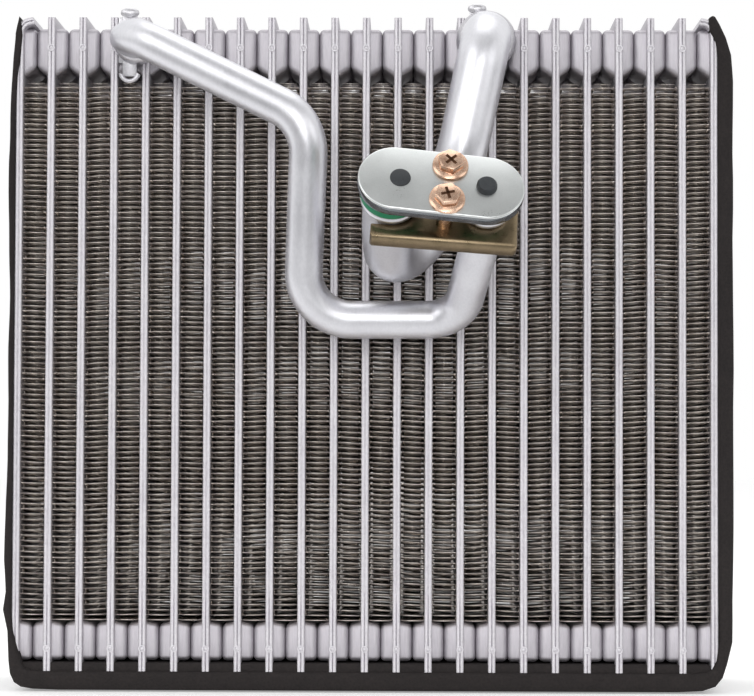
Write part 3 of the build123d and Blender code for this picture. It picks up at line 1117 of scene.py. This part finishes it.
    def build_plugs(self) -> None:
        """Builds the two rubber plugs with domed tops."""
        s, r, mesh = self.sizes, self.plug_radius, bmesh.new()
        for x, proud in self.plugs:
            add_turned(mesh, [(AXIS, -s.cover_thickness), (r - 0.15, -s.cover_thickness), (r, 0.0),
                              (r - 0.1, proud * 0.6), (r - 0.65, proud * 0.95), (AXIS, proud)],
                       s.frame @ Matrix.Translation((x, 0, 0)), 32)
        self.maker.piece("cover_plugs_moulded", mesh, [PLUG_RUBBER], Slot.BLACK_RUBBER, "cover_plugs")

    def build_ring(self, port: Port, width: float, half_height: float) -> None:
        """Builds the sealing ring behind the cover at a port.

        Args:
            port: the port that it seals.
            width: of its section, across the pipe.
            half_height: of its section, along the pipe.
        """
        mesh, s, power = bmesh.new(), self.sizes, self.ring_squareness
        place = s.frame @ Matrix.Translation((port.side * s.port_spacing / 2, 0, -s.cover_thickness))
        section = [(port.radius + 0.1 + width / 2 * (1 + copysign(abs(cos(a)) ** power, cos(a))),
                    -half_height - 0.05 + half_height * copysign(abs(sin(a)) ** power, sin(a)))
                   for a in (radians(k) for k in range(0, 360, 20))]
        add_turned(mesh, section, place, 48)
        node = f"{port.name}_ring"
        self.maker.piece(f"{node}_moulded", mesh, [RING_RUBBER], Slot.GREEN_RUBBER, node, Shading.SMOOTH)


# The foam


@dataclass
class FoamSeal:
    """Foam tape round the left side, the foot and the right side, cut by hand and so a little uneven."""

    core: CoreSizes
    maker: Maker
    front: float = -31.0
    back: float = 30.0
    section: Pair = (4.0, 60.0)
    section_round: float = 1.3
    pad_low: Triple = (-110.8, -29.6, 5.0)
    pad_high: Triple = (110.8, 29.6, 8.7)
    pad_round: float = 0.5
    wander: float = 0.35
    wander_from: float = 113.6
    left_limit: float = -116.38
    right_limit: float = 118.38
    fill: float = 0.9

    def stations(self) -> list[tuple[Pair, Pair]]:
        """Gives the tape's course from the left tip round to the right tip.

        Returns:
            X and Z of the outer and the inner edge at each station.
        """
        left, right, foot = -113.4, 113.4, self.core.foot_z
        return [
            ((-112.4, 217.1), (-112.0, 216.6)), ((-113.2, 214.0), (-111.6, 213.6)),
            ((-113.8, 211.5), (-111.3, 210.9)), ((-114.3, 204.0), (-111.9, 203.6)),
            ((-114.5, 198.0), (-112.8, 197.6)), ((-115.1, 184.6), (-113.38, 184.6)),
            *(((x, z), (left, z)) for x, z in (
                (-115.5, 170.0), (-115.2, 150.0), (-114.9, 131.5), (-115.1, 110.0), (-114.9, 92.9),
                (-115.3, 67.1), (-116.0, 41.5), (-115.3, 31.3))), ((-116.0, 25.6), (left, 25.0)),
            ((-114.6, 18.8), (-112.8, 18.8)), ((-114.4, 9.4), (-110.6, 10.8)), ((-113.9, 5.2), (-109.9, 8.4)),
            ((-112.5, 2.4), (-108.8, 6.9)), ((-110.2, 0.9), (-106.8, 6.3)), ((-106.4, 0.3), (-104.0, foot)),
            *(((x, 0.0), (x, foot)) for x in (-98.0, -80.0, -40.0, 0.0, 40.0, 80.0)),
            ((100.0, 0.0), (99.0, foot)), ((108.2, 0.4), (105.6, foot)), ((112.4, 1.8), (109.4, 6.4)),
            ((114.9, 4.6), (111.3, 7.5)), ((116.3, 9.0), (112.6, 10.0)), ((117.8, 16.0), (113.6, 16.0)),
            *(((x, z), (right, z)) for x, z in ((118.2, 42.4), (118.3, 80.0), (118.35, 125.7), (118.3, 165.0))),
            ((118.3, 196.4), (113.42, 196.4)),
            ((117.9, 205.0), (113.4, 204.0)), ((116.3, 210.6), (112.6, 209.0)), ((114.2, 215.0), (110.8, 212.6)),
            ((112.6, 217.4), (110.4, 215.4)), ((111.9, 217.6), (110.7, 217.0)),
        ]

    def draw_tape(self, mesh: BMesh) -> None:
        """Draws a section with rounded corners along the stations.

        Args:
            mesh: mesh that gets the tape.
        """
        width, depth = self.section
        bmesh.ops.create_grid(mesh, x_segments=1, y_segments=1, size=0.5, matrix=Matrix.Translation((0.5, 0.5, 0)))
        bmesh.ops.scale(mesh, vec=(width, depth, 1), verts=mesh.verts)
        bmesh.ops.bevel(mesh, geom=list(mesh.verts), offset=self.section_round, offset_type="OFFSET", segments=4,
                        profile=0.5, affect="VERTICES", material=-1)
        bmesh.ops.scale(mesh, vec=(1 / width, 1 / depth, 1), verts=mesh.verts)
        places = [self.matrix(*station) for station in self.stations()]
        bmesh.ops.transform(mesh, matrix=places[0], verts=mesh.verts)
        face = list(mesh.faces)
        for before, place in zip(places, places[1:]):
            drawn = bmesh.ops.extrude_face_region(mesh, geom=face)["geom"]
            bmesh.ops.transform(mesh, matrix=place @ before.inverted(), verts=verts_of(drawn))
            face = faces_of(drawn)

    def build(self) -> None:
        """Draws the tape, adds the pad under the tubes and lets the outer face wander a little."""
        mesh = bmesh.new()
        self.draw_tape(mesh)
        pad = add_block(mesh, self.pad_low, self.pad_high)
        round_edges(mesh, edges_within(pad), self.pad_round, 2)
        bmesh.ops.remove_doubles(mesh, verts=mesh.verts, dist=1e-4)
        long_edges = [e for e in mesh.edges if e.calc_length() > 7 and abs(e.verts[0].co.y - e.verts[1].co.y) < 1]
        bmesh.ops.subdivide_edges(mesh, edges=long_edges, cuts=3, use_grid_fill=True)
        for vert in mesh.verts:
            if abs(vert.co.x) > self.wander_from:
                vert.co.x += self.wander * noise.noise(vert.co * 0.06)
            vert.co.x = min(self.right_limit, max(self.left_limit, vert.co.x))
            vert.co.z = max(0.0, vert.co.z)
        tape = self.maker.piece("foam_seal_tape", mesh, [RUBBER_FOAM], Slot.FOAM, "foam_seal")

    def matrix(self, outer: Pair, inner: Pair) -> Matrix:
        """Takes the unit section to a station.

        Args:
            outer: X and Z of the tape's outer edge.
            inner: X and Z of its inner edge.

        Returns:
            The matrix: X from the outer to the inner edge, Y from front to back.
        """
        across = Vector((inner[0] - outer[0], 0, inner[1] - outer[1]))
        along = Vector((0, self.back - self.front, 0))
        turned = Matrix((across, along, across.cross(along).normalized())).transposed().to_4x4()
        return Matrix.Translation((outer[0], self.front, outer[1])) @ turned


# The studio


@dataclass
class Softbox:
    """A square area lamp aimed at the object, in metres."""

    name: str
    place: Triple
    size: float
    radiance: float

    def build(self, aim: Vector) -> None:
        """Makes the lamp; its power gives the wanted radiance.

        Args:
            aim: the point that it faces.
        """
        data = bpy.data.lights.new(self.name, "AREA")
        data.shape = "SQUARE"
        data.size = self.size
        data.energy = self.radiance * pi * self.size ** 2
        lamp = bpy.data.objects.new(self.name, data)
        lamp.location = self.place
        lamp.rotation_mode = "QUATERNION"
        lamp.rotation_quaternion = (aim - Vector(self.place)).to_track_quat("-Z", "Y")
        bpy.context.scene.collection.objects.link(lamp)


@dataclass
class Studio:
    """Floor, soft light, pale surroundings and the camera."""

    camera_place: Triple = (0.012335, -0.880, 0.077243)
    yaw: float = 0.010140
    pitch: float = 0.038490
    roll: float = 0.003321
    focal_px: float = 2643.0
    width_px: int = 754
    sensor_mm: float = 36.0
    aim: Triple = (0, 0, 0.11)
    floor_size: float = 12.0
    floor_drop: float = 0.0005
    floor_shade: tuple[str, str] = ("#8c8c8c", "#eeeeee")
    floor_turn: Pair = (-0.45, -0.06)
    floor_lift: float = 0.30
    room_turn: Pair = (-0.5, 0.15)
    room_level: Pair = (0.42, 1.0)

    def build(self) -> None:
        """Builds everything that isn't part of the object."""
        self.build_camera()
        self.build_floor()
        self.build_world()
        for lamp in (Softbox("key_softbox", (-1.6, -1.6, 1.3), 1.6, 2.0),
                     Softbox("fill_softbox", (1.8, -1.6, 0.9), 1.3, 1.4),
                     Softbox("front_softbox", (0.3, -2.2, 1.0), 0.9, 2.2),
                     Softbox("low_softbox", (-0.2, -2.5, 0.42), 0.7, 6.5),
                     Softbox("top_softbox", (0.1, 0.3, 2.2), 1.4, 1.2)):
            lamp.build(Vector(self.aim))
        bpy.context.scene.view_settings.view_transform = "Standard"

    def build_camera(self) -> None:
        """Sets the camera that was fitted to the photograph."""
        data = bpy.data.cameras.new("camera")
        data.sensor_width = self.sensor_mm
        data.lens = self.focal_px * self.sensor_mm / self.width_px
        data.clip_start, data.clip_end = 0.05, 50
        base = Matrix.Rotation(self.yaw, 3, "Z") @ Matrix.Rotation(self.pitch, 3, "X")
        right, ahead, up = (base @ Vector(axis) for axis in ((1, 0, 0), (0, 1, 0), (0, 0, 1)))
        c, s = cos(self.roll), sin(self.roll)
        turned = Matrix((right * c + up * s, up * c - right * s, -ahead)).transposed()
        camera = bpy.data.objects.new("camera", data)
        camera.matrix_world = Matrix.Translation(self.camera_place) @ turned.to_4x4()
        bpy.context.scene.collection.objects.link(camera)
        bpy.context.scene.camera = camera

    def seen_ray(self, tree: NodeTree) -> NodeSocket:
        """Tells the rays that show the floor from those that only light the object.

        Args:
            tree: the floor's node tree.

        Returns:
            1 for camera, glossy and transmission rays, so that metal shows the same background.
        """
        path = add_node(tree, "ShaderNodeLightPath").outputs
        either = add_math(tree, "MAXIMUM", path["Is Camera Ray"], path["Is Glossy Ray"])
        return add_math(tree, "MAXIMUM", either, path["Is Transmission Ray"])

    def build_floor(self) -> None:
        """Makes the white floor, brighter where it is seen behind the object and grey in front of it."""
        mesh = bmesh.new()
        bmesh.ops.create_grid(mesh, x_segments=1, y_segments=1, size=self.floor_size / 2)
        data = bpy.data.meshes.new("floor")
        mesh.to_mesh(data)
        mesh.free()
        material, tree, place = new_material("matt_white_table")
        split = add_node(tree, "ShaderNodeSeparateXYZ", {0: place})
        behind = add_range(tree, split.outputs["Y"], self.floor_turn)
        lift = add_math(tree, "MULTIPLY", add_math(tree, "MULTIPLY", self.seen_ray(tree), behind), self.floor_lift)
        feed(tree, tree.nodes["Principled BSDF"],
             {"Base Color": mix_colours(tree, behind, *self.floor_shade), "Roughness": 0.8,
              "Specular IOR Level": 0.1, "Emission Color": (1, 1, 1, 1), "Emission Strength": lift})
        data.materials.append(material)
        floor = bpy.data.objects.new("floor", data)
        floor.location = (0, 0, -self.floor_drop)
        bpy.context.scene.collection.objects.link(floor)

    def build_world(self) -> None:
        """Makes the room: white behind the object, dimmer on the photographer's side."""
        world = bpy.data.worlds.new("room")
        world.use_nodes = True
        tree = world.node_tree
        way = add_node(tree, "ShaderNodeTexCoord").outputs["Generated"]
        split = add_node(tree, "ShaderNodeSeparateXYZ", {0: way})
        level = add_range(tree, split.outputs["Y"], self.room_turn, self.room_level)
        feed(tree, tree.nodes["Background"], {"Strength": level, "Color": (1, 1, 1, 1)})
        bpy.context.scene.world = world


# Assembly


def inlet_corners(core: CoreSizes, flange: FlangeSizes) -> list[Vector]:
    """Corners of the inlet pipe's route, from the tank to the port."""
    root = INLET.root(core)
    return [root, root + Vector((0, -17, 0)), Vector((-17.2, -62, 179.4)), Vector((-19.8, -47, 118.2)),
            Vector((29.7, -47, 118.3)), flange.on_port(INLET.side, flange.clamp_front - 10.7),
            flange.pipe_end(INLET.side)]


def outlet_corners(core: CoreSizes, flange: FlangeSizes) -> list[Vector]:
    """Corners of the outlet pipe's route, from the tank to the port."""
    root, along = OUTLET.root(core), flange.frame.to_3x3() @ Vector((4.5, 0, 0))
    return [root, root + Vector((0, -20, 0)), Vector((30.1, -52, 169)),
            flange.on_port(OUTLET.side, flange.clamp_front - 66) + along,
            flange.on_port(OUTLET.side, flange.clamp_front - 13.2), flange.pipe_end(OUTLET.side)]


def main() -> None:
    """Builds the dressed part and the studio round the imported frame."""
    logging.basicConfig(level=logging.INFO, format="%(name)s: %(message)s")
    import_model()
    maker = Maker()
    core, flange = CoreSizes(), FlangeSizes()
    PlatePair(core, maker).build()
    FoldedFin(core, maker).build()
    BentPipe(INLET, inlet_corners(core, flange), [13, 15, 15, 12, 12], flange, maker, swell=0.5).build()
    BentPipe(OUTLET, outlet_corners(core, flange), [13, 30, 15, 40], flange, maker).build()
    for port in (INLET, OUTLET):
        TankAdapter(port, core, maker).build()
    ValveFlange(flange, maker).build()
    FoamSeal(core, maker).build()
    Studio().build()


if __name__ == "__main__":
    main()
